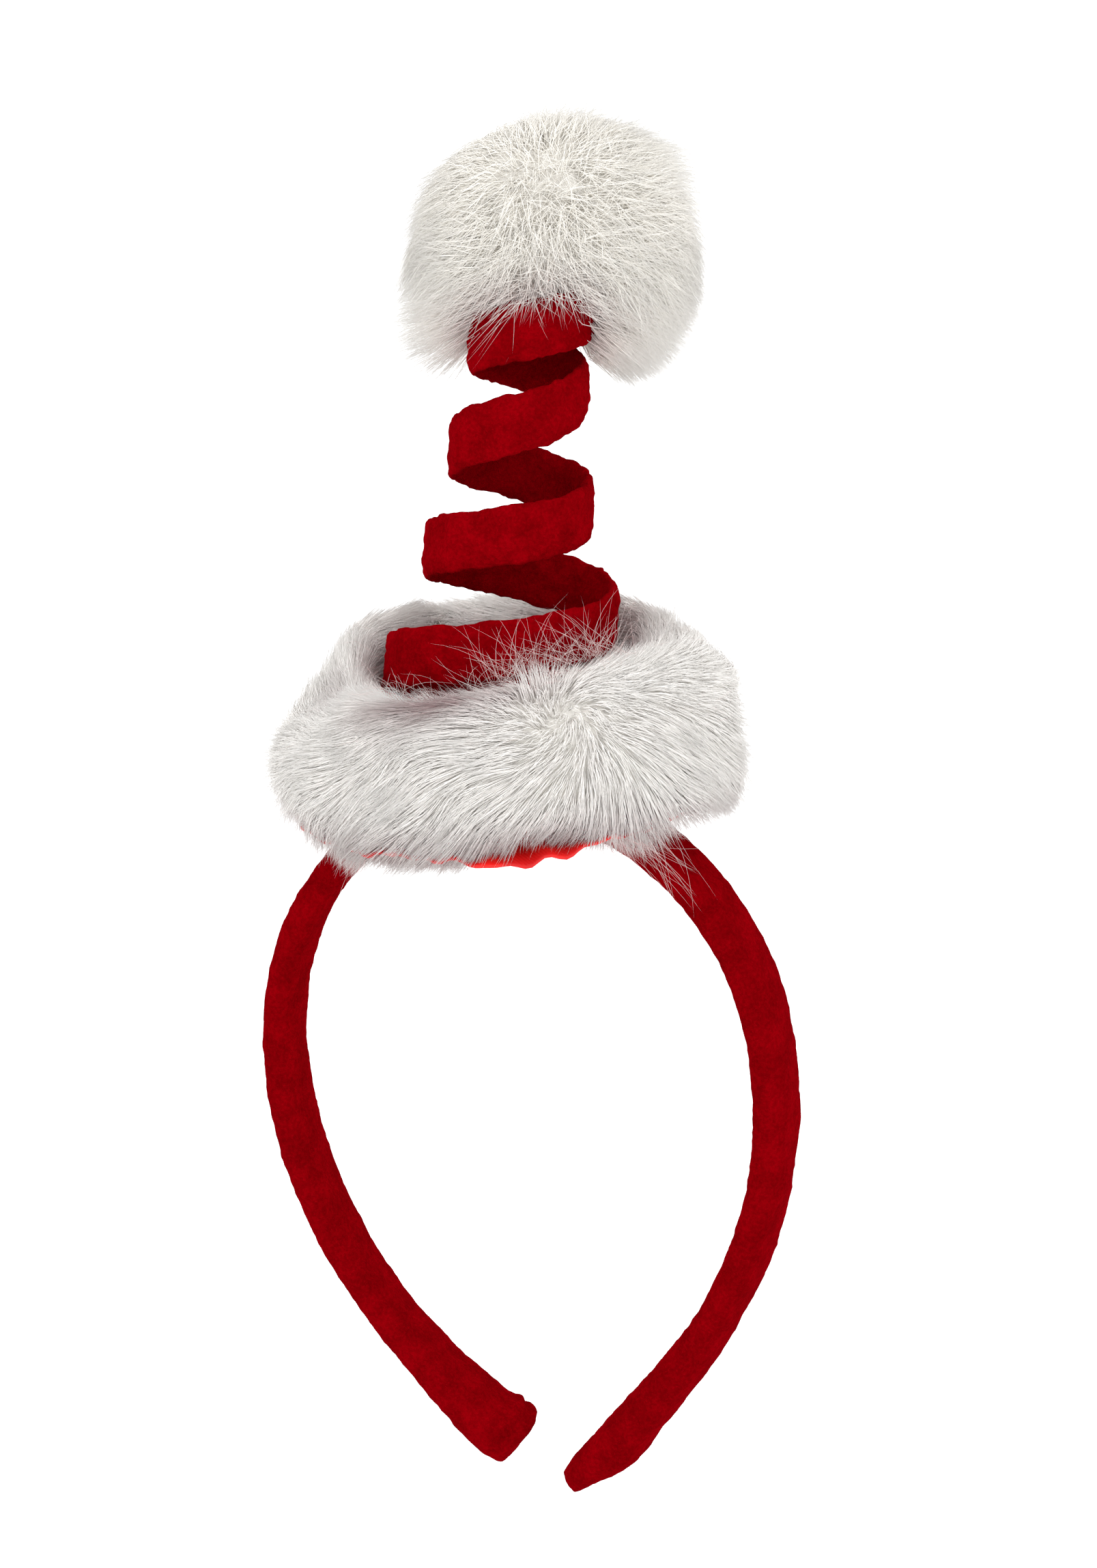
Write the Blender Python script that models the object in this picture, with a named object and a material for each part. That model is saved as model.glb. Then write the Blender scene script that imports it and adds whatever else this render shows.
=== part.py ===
"""Head bopper: a velvet headband, a fur hat brim on its top, and a coiled strap that carries a pompom.

Metres, +Z up. The origin is the middle of the band's inner face at its top, where it rests on a head.
X runs across the head from ear to ear, and -Y is the front.
"""

import math
import random
from collections import namedtuple

import bmesh
import bpy
from mathutils import Matrix, Vector

# Clearance that neighbouring pieces keep
GAP = 0.0003

# Headband, measured on its centreline
BAND_HALF_SPAN = 0.0541
BAND_RISE = 0.05975
BAND_DROP = 0.095
BAND_DROP_POWER = 2.2
BAND_WIDTH = 0.0145
BAND_THICKNESS = 0.0070
BAND_SQUARENESS = 3.0
BAND_STATIONS = 26
STATION_CROWDING = 1.4
BAND_SIDES = 12

# Base under the fur
BRIM_OFFSET_X = 0.0015
BASE_RADIUS = 0.043
BASE_SHEET = 0.002
BASE_DROP = 0.0060
BASE_RIPPLE = 0.0005
BASE_RIPPLES = 12
WALL_RADIUS = 0.030
WALL_HEIGHT = 0.021
BASE_SEGMENTS = 48

# Fur ring round the wall
FUR_DEPTH = 0.0140
FUR_HEIGHT = 0.0315
BRIM_LOCK = 0.0034
BRIM_SEGMENTS = 36

# Coiled strap
STRAP_WIDTH = 0.0122
STRAP_THICKNESS = 0.0030
STRAP_SQUARENESS = 2.8
STRAP_SIDES = 10
COIL_RADIUS = 0.0248
COIL_HEIGHT = 0.0955
COIL_LEAN_SIDE = math.radians(5.2)
COIL_LEAN_BACK = math.radians(11.4)
COIL_START = math.radians(200)
STATIONS_PER_TURN = 18

# Pompom
POMPOM_RADIUS = 0.0278
POMPOM_FLATNESS_SHARE = 0.95
POMPOM_LOCK = 0.0038
POMPOM_RISE = 0.0066
POMPOM_SIDE = 0.0006
POMPOM_BACK = 0.0120
POCKET_CLEARANCE = 0.0012
POCKET_SIDES = 32
POMPOM_SUBDIVISIONS = 3

# Locks of fur: the valley between them, how much their lengths differ, and how far they lean as shares of
# their length
LOCK_INSET = 0.0006
LOCK_LEAST_SHARE, LOCK_MOST_SHARE = 0.75, 1.25
BRIM_SWIRL = 0.35
BRIM_DROOP = 0.30
POMPOM_SWIRL = 0.30
LOCK_SEED = 11

SMOOTH_ANGLE = math.radians(50)
# Short steps between which a curve's direction is measured: along an arm, and in turns of the coil
ARM_STEP = 1e-4
TURN_STEP = 1e-3

# Sections along each arm, from the top of the band to its end: how far along, width and thickness as shares
# of the band's, and how far the strip is turned on its own line, in degrees
ArmRow = namedtuple("ArmRow", "along width thickness turn")
LEFT_ARM = (
    ArmRow(0.00, 1.00, 1.00, 0),
    ArmRow(0.30, 0.97, 1.00, 0),
    ArmRow(0.60, 1.02, 1.02, 0),
    ArmRow(0.86, 1.00, 1.02, 0),
    ArmRow(0.93, 1.06, 1.22, 0),
    ArmRow(0.985, 1.12, 1.62, 0),
    ArmRow(1.00, 1.00, 1.35, 0),
)
RIGHT_ARM = (
    ArmRow(0.00, 1.00, 1.00, 0),
    ArmRow(0.30, 1.05, 1.00, 0),
    ArmRow(0.60, 1.00, 0.98, 4),
    ArmRow(0.80, 0.90, 0.96, 10),
    ArmRow(0.93, 1.00, 1.28, 4),
    ArmRow(0.985, 0.86, 1.00, 0),
    ArmRow(1.00, 0.62, 0.72, 0),
)
# Where the base's floor bends as it comes down off the band, as shares of the base's radius
FLOOR_BENDS = (0.15, 0.27, 0.39, 0.51, 0.62)

# Where each arm ends, as a share of the drop below the band's widest point
LEFT_END_SHARE = 0.903
RIGHT_END_SHARE = 0.985

# Coil from its sewn end up: turns counted from the first that shows, radius and height as shares of the
# coil's, and how much of the lean is reached
CoilRow = namedtuple("CoilRow", "turn radius height lean")
COIL = (
    CoilRow(-1.00, 1.02, 0.000, 0.0),
    CoilRow(-0.75, 1.02, 0.004, 0.1),
    CoilRow(-0.50, 1.02, 0.045, 0.4),
    CoilRow(0.00, 1.00, 0.186, 1.0),
    CoilRow(0.50, 0.85, 0.319, 1.0),
    CoilRow(1.00, 0.72, 0.437, 1.0),
    CoilRow(1.50, 0.58, 0.546, 1.0),
    CoilRow(2.00, 0.56, 0.659, 1.0),
    CoilRow(2.50, 0.48, 0.800, 1.0),
    CoilRow(3.00, 0.43, 0.879, 1.0),
    CoilRow(3.50, 0.54, 0.976, 1.0),
    CoilRow(3.68, 0.55, 1.000, 1.0),
)

# Cross-section of the fur ring, from its inner foot round the outside to the wall's top: shares of the
# fur's depth outwards and of its height upwards
FurRow = namedtuple("FurRow", "out up")
FUR_SECTION = (
    FurRow(0.00, 0.00),
    FurRow(0.45, 0.00),
    FurRow(0.86, 0.05),
    FurRow(1.00, 0.25),
    FurRow(1.02, 0.48),
    FurRow(0.96, 0.72),
    FurRow(0.76, 0.91),
    FurRow(0.42, 1.00),
    FurRow(0.05, 0.97),
    FurRow(-0.16, 0.82),
    FurRow(-0.12, 0.72),
)

# The first stretch of that section that has fur: the two before it lie on the base
FIRST_FURRED = 2

WIDEST_Z = BAND_THICKNESS / 2 - BAND_RISE
BAND_TOP = BAND_THICKNESS
RIM_Z = BAND_TOP + GAP - BASE_DROP
FLOOR_Z = RIM_Z + BASE_SHEET
WALL_OUTER = WALL_RADIUS + BASE_SHEET
WALL_TOP = FLOOR_Z + WALL_HEIGHT


def clear_scene():
    for obj in list(bpy.data.objects):
        bpy.data.objects.remove(obj, do_unlink=True)


def make_material(name, colour, roughness):
    made = bpy.data.materials.new(name)
    made.use_nodes = True
    shader = made.node_tree.nodes["Principled BSDF"]
    shader.inputs["Base Color"].default_value = (*colour, 1.0)
    shader.inputs["Roughness"].default_value = roughness
    shader.inputs["Metallic"].default_value = 0.0
    return made


def make_object(name, bm, finish):
    """Turns a bmesh into a smooth shaded object with its own material."""
    bmesh.ops.recalc_face_normals(bm, faces=bm.faces[:])
    mesh = bpy.data.meshes.new(name)
    bm.to_mesh(mesh)
    bm.free()
    mesh.shade_smooth()
    mesh.set_sharp_from_angle(angle=SMOOTH_ANGLE)
    mesh.materials.append(finish)
    made = bpy.data.objects.new(name, mesh)
    bpy.context.collection.objects.link(made)
    return made


def smooth_value(table, key, column, at):
    """Reads a table's column at a place between two rows, on a smooth curve through the rows."""
    places = [getattr(row, key) for row in table]
    values = [getattr(row, column) for row in table]
    last = len(table) - 1
    at = min(max(at, places[0]), places[last])
    i = max(n for n in range(last) if places[n] <= at)

    def slope(n):
        low, high = max(n - 1, 0), min(n + 1, last)
        return (values[high] - values[low]) / (places[high] - places[low])

    step = places[i + 1] - places[i]
    t = (at - places[i]) / step
    return (
        values[i] * (2 * t**3 - 3 * t**2 + 1)
        + slope(i) * step * (t**3 - 2 * t**2 + t)
        + values[i + 1] * (3 * t**2 - 2 * t**3)
        + slope(i + 1) * step * (t**3 - t**2)
    )


def padded_section(width, thickness, sides, squareness):
    """Points of a rounded strip's section, as distances across its width and through its thickness."""
    def squared(value):
        return math.copysign(abs(value) ** (2 / squareness), value)

    angles = [2 * math.pi * (n + 0.5) / sides for n in range(sides)]
    corners = [(squared(math.cos(angle)), squared(math.sin(angle))) for angle in angles]
    widest = max(across for across, _ in corners)
    thickest = max(through for _, through in corners)
    return [(across / widest * width / 2, through / thickest * thickness / 2) for across, through in corners]


def loft(bm, rings, capped=True):
    """Joins rings of points into a tube, closed at both ends or into a ring."""
    loops = [[bm.verts.new(point) for point in ring] for ring in rings]
    pairs = list(zip(loops, loops[1:]))
    if not capped:
        pairs.append((loops[-1], loops[0]))
    made = []
    for near, far in pairs:
        for n in range(len(near)):
            m = (n + 1) % len(near)
            made.append(bm.faces.new((near[n], near[m], far[m], far[n])))
    if capped:
        bm.faces.new(loops[0])
        bm.faces.new(loops[-1])
    return made


def arm_point(side, place):
    """A point on the band's middle line: 0 is the top, 1 the widest place, then 1 plus the drop's share."""
    if place <= 1:
        angle = place * math.pi / 2
        return Vector((side * BAND_HALF_SPAN * math.sin(angle), 0, WIDEST_Z + BAND_RISE * math.cos(angle)))
    drop = place - 1
    reach = BAND_HALF_SPAN * (1 - drop**BAND_DROP_POWER)
    return Vector((side * reach, 0, WIDEST_Z - BAND_DROP * drop))


def arm_rings(side, end, table):
    """Section rings down one arm, without the one at the top."""
    rings = []
    for n in range(1, BAND_STATIONS + 1):
        share = 1 - (1 - n / BAND_STATIONS) ** STATION_CROWDING
        place = (1 + end) * share
        centre = arm_point(side, place)
        along = (arm_point(side, place + ARM_STEP) - arm_point(side, place - ARM_STEP)).normalized()
        outward = Vector((0, 1, 0)).cross(along) * -side
        width = BAND_WIDTH * smooth_value(table, "along", "width", share)
        thickness = BAND_THICKNESS * smooth_value(table, "along", "thickness", share)
        turn = Matrix.Rotation(math.radians(smooth_value(table, "along", "turn", share)), 3, along)
        front, outward = turn @ Vector((0, 1, 0)), turn @ outward
        section = padded_section(width, thickness, BAND_SIDES, BAND_SQUARENESS)
        rings.append([centre + front * across + outward * through for across, through in section])
    return rings


def make_headband():
    top = padded_section(BAND_WIDTH, BAND_THICKNESS, BAND_SIDES, BAND_SQUARENESS)
    crown = [arm_point(1, 0) + Vector((0, across, through)) for across, through in top]
    left = arm_rings(-1, LEFT_END_SHARE, LEFT_ARM)
    right = arm_rings(1, RIGHT_END_SHARE, RIGHT_ARM)
    bm = bmesh.new()
    loft(bm, left[::-1] + [crown] + right)
    return make_object("headband", bm, make_material("velvet_band", (0.30, 0.004, 0.012), 0.75))


def arch_height(reach):
    """How high the band's outer face lies at a distance from its middle."""
    across = min(reach / (BAND_HALF_SPAN + BAND_THICKNESS / 2), 1.0)
    return WIDEST_Z + (BAND_RISE + BAND_THICKNESS / 2) * math.sqrt(1 - across**2)


def floor_height(reach):
    """Underside of the base: level outside, and pushed up where it rides over the band."""
    over_band = math.sqrt(max(reach**2 - (BAND_WIDTH / 2) ** 2, 0)) - BRIM_OFFSET_X
    return max(RIM_Z, arch_height(over_band) + GAP)


def bend_reaches():
    return [BASE_RADIUS * share for share in FLOOR_BENDS]


def strap_foot():
    """Height of the strap's middle where its lower edge is sewn down on the base's floor."""
    inner = COIL_RADIUS * COIL[0].radius - STRAP_THICKNESS / 2
    bends = bend_reaches() + [WALL_RADIUS]
    low, high = next(pair for pair in zip(bends, bends[1:]) if pair[1] > inner)
    share = (inner - low) / (high - low)
    floor = floor_height(low) + (floor_height(high) - floor_height(low)) * share
    return floor + BASE_SHEET + GAP + STRAP_WIDTH / 2


def base_profile():
    """Radius, height and ripple of the base's outline, from under its middle round to above it."""
    reaches = bend_reaches()
    under = [(reach, floor_height(reach), 0) for reach in reaches]
    lip = BASE_SHEET / 2
    rim = [
        (BASE_RADIUS, RIM_Z, 1),
        (BASE_RADIUS + lip, RIM_Z + lip, 1),
        (BASE_RADIUS, FLOOR_Z, 1),
    ]
    wall = [
        (WALL_OUTER, FLOOR_Z, 0),
        (WALL_OUTER, WALL_TOP, 0),
        (WALL_RADIUS, WALL_TOP, 0),
        (WALL_RADIUS, FLOOR_Z, 0),
    ]
    floor = [(reach, floor_height(reach) + BASE_SHEET, 0) for reach in reversed(reaches)]
    return under + rim + wall + floor


def make_hat_base():
    bm = bmesh.new()
    foot = Vector((BRIM_OFFSET_X, 0, 0))
    spokes = []
    for n in range(BASE_SEGMENTS):
        angle = 2 * math.pi * n / BASE_SEGMENTS
        wave = BASE_RIPPLE * math.sin(BASE_RIPPLES * angle)
        direction = Vector((math.cos(angle), math.sin(angle), 0))
        spoke = []
        for reach, height, ripple in base_profile():
            point = foot + direction * (reach + ripple * wave) + Vector((0, 0, height))
            spoke.append(bm.verts.new(point))
        spokes.append(spoke)
    below = bm.verts.new((BRIM_OFFSET_X, 0, floor_height(0)))
    above = bm.verts.new((BRIM_OFFSET_X, 0, floor_height(0) + BASE_SHEET))
    for near, far in zip(spokes, spokes[1:] + spokes[:1]):
        bm.faces.new((below, near[0], far[0]))
        bm.faces.new((above, far[-1], near[-1]))
        for n in range(len(near) - 1):
            bm.faces.new((near[n], near[n + 1], far[n + 1], far[n]))
    return make_object("hat_base", bm, make_material("satin", (0.62, 0.012, 0.010), 0.45))


def grow_locks(bm, faces, length, lean_of, chance):
    """Draws every face out into a pointed lock of fur, fused to the skin that it grows from."""
    bmesh.ops.inset_individual(bm, faces=faces, thickness=LOCK_INSET, use_even_offset=True)
    tips = bmesh.ops.poke(bm, faces=faces)["verts"]
    bm.normal_update()
    for tip in tips:
        reach = length * chance.uniform(LOCK_LEAST_SHARE, LOCK_MOST_SHARE)
        tip.co += tip.normal * reach + lean_of(tip.co, tip.normal) * reach


def make_fur_brim():
    rings = []
    for n in range(BRIM_SEGMENTS):
        angle = 2 * math.pi * n / BRIM_SEGMENTS
        direction = Vector((math.cos(angle), math.sin(angle), 0))
        start = Vector((BRIM_OFFSET_X, 0, FLOOR_Z + GAP)) + direction * (WALL_OUTER + GAP)
        over_wall = start + Vector((0, 0, WALL_HEIGHT))
        ring = []
        for row in FUR_SECTION:
            ring.append(start + direction * (row.out * FUR_DEPTH) + Vector((0, 0, row.up * FUR_HEIGHT)))
        ring.append(over_wall + direction * (FUR_SECTION[-1].out * FUR_DEPTH))
        ring.append(over_wall)
        rings.append(ring)
    bm = bmesh.new()
    faces = loft(bm, rings, capped=False)
    sides, last_furred = len(rings[0]), len(FUR_SECTION) - 2
    outer = [face for n, face in enumerate(faces) if FIRST_FURRED <= n % sides < last_furred]
    bmesh.ops.recalc_face_normals(bm, faces=bm.faces[:])

    def droop(place, normal):
        around = Vector((-place.y, place.x - BRIM_OFFSET_X, 0)).normalized()
        return around * BRIM_SWIRL - Vector((0, 0, BRIM_DROOP))

    grow_locks(bm, outer, BRIM_LOCK, droop, random.Random(LOCK_SEED))
    return make_object("fur_brim", bm, make_material("fur_brim", (0.82, 0.80, 0.77), 0.9))


def coil_axis(lean):
    """Direction of the coil's axis for a share of its full lean."""
    side, back = math.tan(COIL_LEAN_SIDE * lean), math.tan(COIL_LEAN_BACK * lean)
    return Vector((side, back, 1)).normalized()


def coil_frame(turn):
    """Centre, axis and outward direction of the coil at a number of turns."""
    axis = coil_axis(smooth_value(COIL, "turn", "lean", turn))
    height = COIL_HEIGHT * smooth_value(COIL, "turn", "height", turn)
    centre = Vector((BRIM_OFFSET_X, 0, strap_foot())) + axis * height
    angle = COIL_START + 2 * math.pi * turn
    flat = Vector((math.cos(angle), math.sin(angle), 0))
    return centre, axis, (flat - axis * flat.dot(axis)).normalized()


def coil_point(turn):
    centre, _, outward = coil_frame(turn)
    return centre + outward * COIL_RADIUS * smooth_value(COIL, "turn", "radius", turn)


def make_spring_strap():
    first, last = COIL[0].turn, COIL[-1].turn
    count = round((last - first) * STATIONS_PER_TURN)
    section = padded_section(STRAP_WIDTH, STRAP_THICKNESS, STRAP_SIDES, STRAP_SQUARENESS)
    rings = []
    for n in range(count + 1):
        turn = first + (last - first) * n / count
        before, after = max(turn - TURN_STEP, first), min(turn + TURN_STEP, last)
        along = (coil_point(after) - coil_point(before)).normalized()
        _, _, outward = coil_frame(turn)
        outward = (outward - along * outward.dot(along)).normalized()
        upward = outward.cross(along)
        rings.append([coil_point(turn) + upward * across + outward * through for across, through in section])
    bm = bmesh.new()
    loft(bm, rings)
    return make_object("spring_strap", bm, make_material("velvet_strap", (0.33, 0.004, 0.012), 0.72))


def make_pompom():
    axis = coil_axis(1)
    back = Vector((0, 1, 0))
    back = (back - axis * back.dot(axis)).normalized()
    top, _, _ = coil_frame(COIL[-1].turn)
    side = back.cross(axis)
    centre = top + axis * POMPOM_RISE + back * POMPOM_BACK + side * POMPOM_SIDE
    turned = Matrix((side, back, axis)).transposed().to_4x4()
    bm = bmesh.new()
    bmesh.ops.create_icosphere(bm, subdivisions=POMPOM_SUBDIVISIONS, radius=POMPOM_RADIUS)
    bmesh.ops.scale(bm, vec=(1, 1, POMPOM_FLATNESS_SHARE), verts=bm.verts[:])
    bm.normal_update()

    def swirl(place, normal):
        return Vector((-normal.y, normal.x, 0)) * POMPOM_SWIRL

    pocket = Vector((-POMPOM_SIDE, -POMPOM_BACK, 0))
    clear_of_pocket = pocket_radii()[1] + POMPOM_LOCK
    furred = []
    for face in bm.faces:
        middle = face.calc_center_median()
        if middle.z > 0 or (middle - pocket).xy.length > clear_of_pocket:
            furred.append(face)
    grow_locks(bm, furred, POMPOM_LOCK, swirl, random.Random(LOCK_SEED + 1))
    bmesh.ops.transform(bm, matrix=Matrix.Translation(centre) @ turned, verts=bm.verts[:])
    ball = make_object("pompom", bm, make_material("fur_pompom", (0.82, 0.80, 0.77), 0.9))
    cut_pocket(ball, Matrix.Translation(top) @ turned)
    return ball


def pocket_radii():
    """Inner and outer radius of the round channel that the last turns of the strap stand in."""
    narrowest = COIL_RADIUS * min(row.radius for row in COIL)
    last = COIL_RADIUS * COIL[-1].radius
    reach = STRAP_THICKNESS / 2 + POCKET_CLEARANCE
    return narrowest - reach, last + reach


def cut_pocket(ball, place):
    """Opens a channel in the underside of the ball round the last turns of the strap."""
    inner, outer = pocket_radii()
    ceiling = STRAP_WIDTH / 2 + GAP
    mouth = ceiling - POMPOM_RADIUS * 2
    rings = []
    for n in range(POCKET_SIDES):
        angle = 2 * math.pi * n / POCKET_SIDES
        direction = Vector((math.cos(angle), math.sin(angle), 0))
        section = ((inner, ceiling), (outer, ceiling), (outer, mouth), (inner, mouth))
        rings.append([place @ (direction * reach + Vector((0, 0, height))) for reach, height in section])
    bm = bmesh.new()
    loft(bm, rings, capped=False)
    cutter = make_object("pocket_cutter", bm, make_material("cutter", (0.5, 0.5, 0.5), 0.5))
    cutter.hide_render = True
    cutter.display_type = "WIRE"
    pocket = ball.modifiers.new("pocket", "BOOLEAN")
    pocket.operation = "DIFFERENCE"
    pocket.object = cutter


clear_scene()
make_headband()
make_hat_base()
make_fur_brim()
make_spring_strap()
make_pompom()
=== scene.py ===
"""Looks of the head bopper: a velvet band and coil, a gathered satin base, and long soft fur on the brim
and the pompom.

Metres, in the frame's own axes: X across the head, -Y the front, +Z up, origin under the top of the band.
"""

import math

import bpy
import numpy as np
from mathutils import Matrix, Vector, bvhtree, kdtree, noise


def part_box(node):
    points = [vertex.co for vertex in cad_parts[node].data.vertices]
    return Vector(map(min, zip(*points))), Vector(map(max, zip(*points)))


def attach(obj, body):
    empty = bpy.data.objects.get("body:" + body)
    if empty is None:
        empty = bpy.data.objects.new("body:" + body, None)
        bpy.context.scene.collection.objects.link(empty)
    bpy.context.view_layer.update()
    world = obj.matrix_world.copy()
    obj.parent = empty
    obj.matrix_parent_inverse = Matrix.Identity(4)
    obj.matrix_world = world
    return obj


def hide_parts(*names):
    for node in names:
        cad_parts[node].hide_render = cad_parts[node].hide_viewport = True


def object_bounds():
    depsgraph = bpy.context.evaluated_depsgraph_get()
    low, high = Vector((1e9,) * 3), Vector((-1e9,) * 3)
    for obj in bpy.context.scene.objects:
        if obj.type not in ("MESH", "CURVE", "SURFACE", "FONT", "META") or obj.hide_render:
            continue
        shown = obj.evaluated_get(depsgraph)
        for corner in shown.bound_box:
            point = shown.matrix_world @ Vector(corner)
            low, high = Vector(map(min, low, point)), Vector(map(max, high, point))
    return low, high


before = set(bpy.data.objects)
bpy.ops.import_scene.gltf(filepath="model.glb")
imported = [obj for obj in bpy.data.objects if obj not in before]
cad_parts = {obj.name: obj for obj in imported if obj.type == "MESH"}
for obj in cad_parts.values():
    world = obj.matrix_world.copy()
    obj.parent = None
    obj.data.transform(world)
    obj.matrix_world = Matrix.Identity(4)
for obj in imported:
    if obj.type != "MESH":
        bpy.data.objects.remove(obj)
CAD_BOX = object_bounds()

MM = 0.001

# Named places taken from the frame
BAND_LOW, BAND_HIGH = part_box("headband")
BASE_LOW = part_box("hat_base")[0]
BRIM_LOW, BRIM_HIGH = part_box("fur_brim")
BALL_LOW, BALL_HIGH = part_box("pompom")

# Brim, as the part has it
BRIM_CENTRE = Vector(((BRIM_LOW.x + BRIM_HIGH.x) / 2, 0, 0))
BASE_RADIUS = 43 * MM
WALL_OUTER = 32 * MM
FUR_FOOT = 3.6 * MM
FUR_DEPTH = 14 * MM
FUR_HEIGHT = 31.5 * MM
BRIM_LOCK = 3.4 * MM

# Coil and pompom, as the part has them
COIL_LEAN_SIDE = math.radians(5.2)
COIL_LEAN_BACK = math.radians(11.4)
POMPOM_RADIUS = 27.8 * MM
POMPOM_FLATNESS = 0.95
POMPOM_LOCK = 3.8 * MM

# Where the front of the object faces the camera, as an angle round the brim
CAMERA_AZIMUTH = math.radians(20)
FACING = CAMERA_AZIMUTH - math.pi / 2

# Hair: its width, a stray hair's width, its sides, its points from root to tip, and how many hairs are made
HAIR_WIDTH = 0.17 * MM
STRAY_WIDTH = 0.047 * MM
HAIR_SIDES = 3
HAIR_POINTS = 3
STRAY_POINTS = 7
BRIM_HAIRS = 47000
FRINGE_HAIRS = 900
BALL_HAIRS = 27000
BALL_STRAYS = 16
SEED = 7

# Seen section of the brim's fur, from its inner top round the outside to its outer foot: shares of the
# fur's depth outwards and of its height upwards, first where the hairs' tips lie and then their roots
TIP_SECTION = (
    (-0.30, 0.70),
    (-0.28, 0.86),
    (-0.06, 1.02),
    (0.30, 1.08),
    (0.64, 1.02),
    (0.92, 0.88),
    (1.10, 0.68),
    (1.16, 0.46),
    (1.12, 0.22),
    (0.98, 0.04),
    (0.70, -0.06),
)
ROOT_SECTION = (
    (-0.17, 0.66),
    (-0.14, 0.80),
    (0.01, 0.91),
    (0.30, 0.96),
    (0.57, 0.91),
    (0.78, 0.79),
    (0.90, 0.63),
    (0.94, 0.46),
    (0.88, 0.26),
    (0.74, 0.12),
    (0.44, 0.08),
)


def clear_selection():
    """Leaves edit mode and deselects everything, the CAD nodes too."""
    if bpy.context.mode != "OBJECT":
        bpy.ops.object.mode_set(mode="OBJECT")
    bpy.ops.object.select_all(action="DESELECT")


def activate(piece):
    """Leaves this piece as the only one selected, and active."""
    clear_selection()
    piece.select_set(True)
    bpy.context.view_layer.objects.active = piece


def finish_modifiers(piece):
    """Applies each modifier of a piece, from the first to the last."""
    activate(piece)
    for modifier in list(piece.modifiers):
        bpy.ops.object.modifier_apply(modifier=modifier.name)


def ride_on_root(piece, slot, *nodes):
    """Puts a piece on the part's one body and hides the CAD nodes that it stands for; slot is not used."""
    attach(piece, "root")
    if nodes:
        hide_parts(*nodes)
    return piece


def wrapped(angle):
    """The same angle, from minus half a turn to half a turn."""
    return (angle + math.pi) % (2 * math.pi) - math.pi


def bell(angle, middle, width):
    """1 at an angle round the brim, falling smoothly to 0 on both sides of it."""
    return np.exp(-((wrapped(angle - middle) / width) ** 2))


# Shader groups


def add_node(tree, kind, **settings):
    node = tree.nodes.new(kind)
    for name, value in settings.items():
        setattr(node, name, value)
    return node


def new_group(name, inputs, outputs):
    """An empty shader group with its sockets, and its input and output nodes."""
    tree = bpy.data.node_groups.new(name, "ShaderNodeTree")
    for label, kind, default in inputs:
        socket = tree.interface.new_socket(label, in_out="INPUT", socket_type=kind)
        socket.default_value = default
    for label, kind in outputs:
        tree.interface.new_socket(label, in_out="OUTPUT", socket_type=kind)
    return tree, add_node(tree, "NodeGroupInput"), add_node(tree, "NodeGroupOutput")


def mix_colours(tree, factor, first, second):
    """Mixes two colour sockets by a factor socket and returns the result."""
    mix = add_node(tree, "ShaderNodeMix", data_type="RGBA")
    tree.links.new(factor, mix.inputs["Factor"])
    tree.links.new(first, mix.inputs["A"])
    tree.links.new(second, mix.inputs["B"])
    return mix.outputs["Result"]


def two_tone(tree, factor, dark, light):
    """Mixes two fixed colours by a factor socket and returns the result."""
    mix = add_node(tree, "ShaderNodeMix", data_type="RGBA")
    tree.links.new(factor, mix.inputs["Factor"])
    mix.inputs["A"].default_value = (*dark, 1)
    mix.inputs["B"].default_value = (*light, 1)
    return mix.outputs["Result"]


def ranged(tree, value, low, high, to_low=0.0, to_high=1.0):
    """Spreads a stretch of a value over another, with a smooth start and end."""
    remap = add_node(tree, "ShaderNodeMapRange", interpolation_type="SMOOTHSTEP")
    tree.links.new(value, remap.inputs["Value"])
    remap.inputs["From Min"].default_value = low
    remap.inputs["From Max"].default_value = high
    remap.inputs["To Min"].default_value = to_low
    remap.inputs["To Max"].default_value = to_high
    return remap.outputs["Result"]


def noise_at(tree, place, scale, detail=3.0, roughness=0.55):
    made = add_node(tree, "ShaderNodeTexNoise")
    made.inputs["Scale"].default_value = scale
    made.inputs["Detail"].default_value = detail
    made.inputs["Roughness"].default_value = roughness
    tree.links.new(place, made.inputs["Vector"])
    return made.outputs["Fac"]


def pile_group():
    """Crushed velvet pile: patches that lie over to different sides, and the grain of the pile's tips."""
    tree, start, end = new_group(
        "velvet_pile",
        [
            ("Deep", "NodeSocketColor", (0.1, 0, 0, 1)),
            ("Lit", "NodeSocketColor", (0.4, 0, 0, 1)),
            ("Tip", "NodeSocketColor", (0.6, 0.05, 0.06, 1)),
        ],
        [("Color", "NodeSocketColor"), ("Height", "NodeSocketFloat"), ("Roughness", "NodeSocketFloat")],
    )
    place = add_node(tree, "ShaderNodeTexCoord").outputs["Object"]
    patches = ranged(tree, noise_at(tree, place, 170, 5.0, 0.60), 0.34, 0.68)
    grain = noise_at(tree, place, 1300, 3.0)
    flecks = ranged(tree, noise_at(tree, place, 2600, 1.0), 0.60, 0.78, 0.0, 0.30)
    lying = mix_colours(tree, patches, start.outputs["Deep"], start.outputs["Lit"])
    shade = add_node(tree, "ShaderNodeHueSaturation")
    tree.links.new(ranged(tree, grain, 0.3, 0.7, 0.84, 1.14), shade.inputs["Value"])
    tree.links.new(lying, shade.inputs["Color"])
    colour = mix_colours(tree, flecks, shade.outputs["Color"], start.outputs["Tip"])
    tree.links.new(colour, end.inputs["Color"])
    tree.links.new(grain, end.inputs["Height"])
    tree.links.new(ranged(tree, patches, 0.0, 1.0, 0.95, 0.75), end.inputs["Roughness"])
    return tree


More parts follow.
